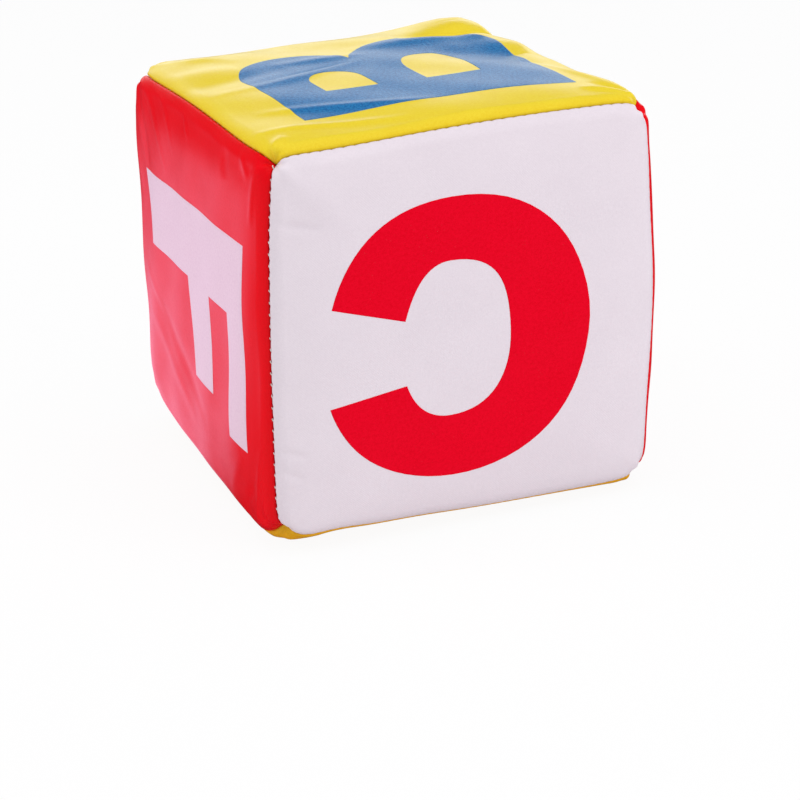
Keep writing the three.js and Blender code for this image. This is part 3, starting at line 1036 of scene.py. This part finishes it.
def contourPoints(contour):
    points = [contour[0]]
    for part in contour[1:]:
        if len(part) == 2:
            points.append(part)
            continue
        start, first, second, end = points[-1], part[0:2], part[2:4], part[4:6]
        for step in range(1, letters["curveSteps"] + 1):
            t = step / letters["curveSteps"]
            weights = ((1 - t) ** 3, 3 * t * (1 - t) ** 2, 3 * t * t * (1 - t), t**3)
            points.append(tuple(
                sum(w * p[axis] for w, p in zip(weights, (start, first, second, end))) for axis in (0, 1)
            ))
    return points


def letterSheet(letter):
    # A flat filled letter, cut into squares along the lines of the panel's own grid
    curve = bpy.data.curves.new("letter", "CURVE")
    curve.dimensions = "2D"
    curve.fill_mode = "BOTH"
    shift = letters["shiftShares"].get(letter, (0, 0))
    for contour in letterShares[letter]:
        points = contourPoints(contour)
        spline = curve.splines.new("POLY")
        spline.points.add(len(points) - 1)
        for point, (x, y) in zip(spline.points, points):
            point.co = ((x + shift[0]) * letters["height"], (y + shift[1]) * letters["height"], 0, 1)
        spline.use_cyclic_u = True
    holder = bpy.data.objects.new("letter", curve)
    sheet = bmesh.new()
    sheet.from_mesh(holder.to_mesh())
    holder.to_mesh_clear()
    bpy.data.objects.remove(holder)
    bpy.data.curves.remove(curve)
    bmesh.ops.remove_doubles(sheet, verts=sheet.verts, dist=letters["hair"])

    for axis in (0, 1):
        ahead = list(sheet.faces)
        normal = Vector((1, 0, 0)) if axis == 0 else Vector((0, 1, 0))
        low = min(v.co[axis] for v in sheet.verts)
        high = max(v.co[axis] for v in sheet.verts)
        for line in range(math.ceil(low / gridPitch), math.floor(high / gridPitch) + 1):
            level = line * gridPitch
            edges = {e for f in ahead for e in f.edges}
            verts = {v for f in ahead for v in f.verts}
            cut = bmesh.ops.bisect_plane(
                sheet,
                geom=[*verts, *edges, *ahead],
                dist=letters["hair"] / 10,
                plane_co=normal * level,
                plane_no=normal,
            )
            pieces = [g for g in cut["geom"] if isinstance(g, bmesh.types.BMFace)]
            ahead = [f for f in pieces if max(v.co[axis] for v in f.verts) > level + letters["hair"]]
    sheet.verts.index_update()
    flat = np.array([v.co[:2] for v in sheet.verts])
    faces = [[v.index for v in f.verts] for f in sheet.faces]
    loops = [edge.link_loops[0] for edge in sheet.edges if edge.is_boundary]
    rim = [(loop.vert.index, loop.link_loop_next.vert.index) for loop in loops]
    sheet.free()
    return flat, faces, rim


def onSurface(grid, flat):
    # Values of a panel's grid at places on its crown
    column, row = (flat[:, axis] / gridPitch + len(grid) // 2 for axis in (0, 1))
    left, below = (np.floor(place + letters["hair"]).astype(int) for place in (column, row))
    across, up = (column - left)[:, None], (row - below)[:, None]
    low = grid[below, left] * (1 - across) + grid[below, left + 1] * across
    high = grid[below + 1, left] * (1 - across) + grid[below + 1, left + 1] * across
    return low * (1 - up) + high * up


def makePrint(name):
    face, shape = faceTable[name], shapes[name]
    flat, faces, rim = letterSheet(face["letter"])
    skin = onSurface(shape["outer"], flat)
    normals = onSurface(normalsOf(shape["outer"]), flat)
    normals /= np.linalg.norm(normals, axis=1, keepdims=True)
    points = np.concatenate([skin + normals * letters["above"], skin - normals * letters["below"]])
    cloth = onSurface(shape["cloth"], flat)
    count = len(flat)
    lower = [[i + count for i in reversed(f)] for f in faces]
    walls = [[b, a, a + count, b + count] for a, b in rim]
    ink = meshObject(
        "print" + face["letter"].title(),
        placed(points, face),
        faces + lower + walls,
        np.concatenate([cloth, cloth]),
    )
    ink.data.materials.append(printMaterials[face["print"]])
    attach(ink, "root")
    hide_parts("letter_" + face["letter"])
    "print_" + face["print"]


for name in faceTable:
    makePrint(name)
print("letters printed")


# Stitches: short bars of thread across each seam, laid by one node tree

stitching = {
    "thread": 0.4,
    "span": 1.6,  # from hole to hole, across the seam
    "slant": 0.5,
    "above": -0.3,  # over the line where the panels meet
    "frontAbove": 0.35,  # the same for the upright seams of the front
    "sink": 0.5,  # how far the ends go into the cloth
    "arch": (0.4, 0.3, 0.4),  # where a bar bends: shares of its slant, its span and its sink
    "barSteps": 6,
    "threadSides": 6,
    "jitter": 0.12,
    "jitterUp": 0.3,  # as a share of the jitter
    "turn": 0.12,
    "seed": 11,
    "lineSteps": (24, 4, 4),
    "pathPoints": 120,
}
seams = [  # between all the faces that aren't opposite
    pair
    for pair in itertools.combinations(faceTable, 2)
    if np.dot(*(faceTable[name]["normal"] for name in pair)) == 0
]


def seamLine(first, second):
    skin = panelSkin(-cover["marginGap"] / 2, stitching["lineSteps"])
    toward = frameOf(faceTable[first]).T @ np.array(faceTable[second]["normal"])
    if abs(toward[0]) > 0.5:
        line = skin[:, -1 if toward[0] > 0 else 0]
    else:
        line = skin[-1 if toward[1] > 0 else 0, :]
    return placed(line, faceTable[first])


def stitchInputs(order):
    # For each input of the tree, the kind of its socket and its value on one seam
    return {
        "Count": ("Int", pits["count"]),
        "Thread": ("Float", stitching["thread"] * mm),
        "Span": ("Float", stitching["span"] * mm),
        "Slant": ("Float", stitching["slant"] * mm),
        "Sink": ("Float", stitching["sink"] * mm),
        "Jitter": ("Float", stitching["jitter"] * mm),
        "Turn": ("Float", stitching["turn"]),
        "Seed": ("Int", stitching["seed"] + order),
        "Material": ("Material", stitchMaterial),
    }


def stitchTree():
    tree = bpy.data.node_groups.new("seamStitches", "GeometryNodeTree")
    face = tree.interface
    face.new_socket(name="Geometry", in_out="OUTPUT", socket_type="NodeSocketGeometry")
    face.new_socket(name="Seam", in_out="INPUT", socket_type="NodeSocketGeometry")
    for name, (kind, _) in stitchInputs(0).items():
        face.new_socket(name=name, in_out="INPUT", socket_type="NodeSocket" + kind)
    wire = Wire(tree)
    given = tree.nodes.new("NodeGroupInput")
    value = {name: Wire(tree, given.outputs[name]) for name in ("Seam", *stitchInputs(0))}

    path = wire.add("GeometryNodeMeshToCurve", {"Mesh": value["Seam"]})
    path = wire.add("GeometryNodeResampleCurve", {"Curve": path, "Count": value["Count"]})
    outward = wire.add(
        "GeometryNodeInputNamedAttribute", {"Name": "outward"}, "Attribute", data_type="FLOAT_VECTOR"
    )
    tangent = wire.add("GeometryNodeInputTangent")
    turned = wire.add("FunctionNodeAlignRotationToVector", {"Vector": outward}, axis="Z")
    sockets = {"Rotation": turned, "Vector": tangent}
    turned = wire.add("FunctionNodeAlignRotationToVector", sockets, axis="X", pivot_axis="Z")
    points = wire.add("GeometryNodeCurveToPoints", {"Curve": path}, "Points", mode="EVALUATED")

    def corner(alongShare, acrossShare, drop):
        along, across = value["Slant"] * alongShare, value["Span"] * acrossShare
        return wire.add("ShaderNodeCombineXYZ", {"X": along, "Y": across, "Z": drop})

    along, across, rise = stitching["arch"]
    sockets = {
        "Resolution": stitching["barSteps"],
        "Start": corner(-0.5, -0.5, value["Sink"] * -1),
        "Start Handle": corner(-along, -across, value["Sink"] * rise),
        "End Handle": corner(along, across, value["Sink"] * rise),
        "End": corner(0.5, 0.5, value["Sink"] * -1),
    }
    bar = wire.add("GeometryNodeCurvePrimitiveBezierSegment", sockets, mode="POSITION")
    sockets = {"Resolution": stitching["threadSides"], "Radius": value["Thread"] * 0.5}
    circle = wire.add("GeometryNodeCurvePrimitiveCircle", sockets, mode="RADIUS")
    bar = wire.add("GeometryNodeCurveToMesh", {"Curve": bar, "Profile Curve": circle, "Fill Caps": True})
    sockets = {"Points": points, "Instance": bar, "Rotation": turned}
    laid = wire.add("GeometryNodeInstanceOnPoints", sockets)

    def chance(low, high, seedStep):
        sockets = {"Min": low, "Max": high, "Seed": value["Seed"] + seedStep}
        return wire.add("FunctionNodeRandomValue", sockets, "Value", data_type="FLOAT_VECTOR")

    upward = stitching["jitterUp"]
    nudge = chance((-1, -1, -upward), (1, 1, upward), 0).scaled(value["Jitter"])
    sockets = {"Instances": laid, "Translation": nudge, "Local Space": True}
    laid = wire.add("GeometryNodeTranslateInstances", sockets)
    spin = chance((0, 0, -1), (0, 0, 1), 1).scaled(value["Turn"])
    sockets = {"Instances": laid, "Rotation": spin, "Local Space": True}
    laid = wire.add("GeometryNodeRotateInstances", sockets)
    whole = wire.add("GeometryNodeRealizeInstances", {"Geometry": laid})
    whole = wire.add("GeometryNodeSetShadeSmooth", {"Geometry": whole})
    whole = wire.add("GeometryNodeSetMaterial", {"Geometry": whole, "Material": value["Material"]})
    wire.add("NodeGroupOutput", {"Geometry": whole})
    return tree


def makeStitches(tree, first, second, order):
    line = seamLine(first, second)
    outward = np.array(faceTable[first]["normal"], float) + faceTable[second]["normal"]
    outward /= np.linalg.norm(outward)
    run = np.concatenate([[0], np.cumsum(np.linalg.norm(np.diff(line, axis=0), axis=1))])
    ends = run[-1] / 2 + np.array([-1, 1]) * (crownEnd - stitchPitch / 2)
    places = np.linspace(*ends, stitching["pathPoints"])
    line = np.stack([np.interp(places, run, line[:, axis]) for axis in range(3)], axis=1)
    line = line + outward * stitching["frontAbove" if first == "front" else "above"]
    mesh = bpy.data.meshes.new("seamPath")
    mesh.from_pydata((line * mm).tolist(), [(k, k + 1) for k in range(len(line) - 1)], [])
    mesh.attributes.new("outward", "FLOAT_VECTOR", "POINT").data.foreach_set(
        "vector", np.tile(outward, len(line)).astype(np.float32)
    )
    guide = linked("seamPath", mesh)
    modifier = guide.modifiers.new("stitches", "NODES")
    modifier.node_group = tree
    inputs = stitchInputs(order)
    for item in tree.interface.items_tree:
        if item.name in inputs:
            modifier[item.identifier] = inputs[item.name][1]
    depsgraph = bpy.context.evaluated_depsgraph_get()
    made = bpy.data.meshes.new_from_object(guide.evaluated_get(depsgraph))
    name = "stitches" + first.title() + second.title()
    made.name = name
    piece = linked(name, made)
    bpy.data.objects.remove(guide)
    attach(piece, "root")
    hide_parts("seam_" + first + "_" + second)


tree = stitchTree()
for order, (first, second) in enumerate(seams):
    makeStitches(tree, first, second, order)
print("seams stitched")
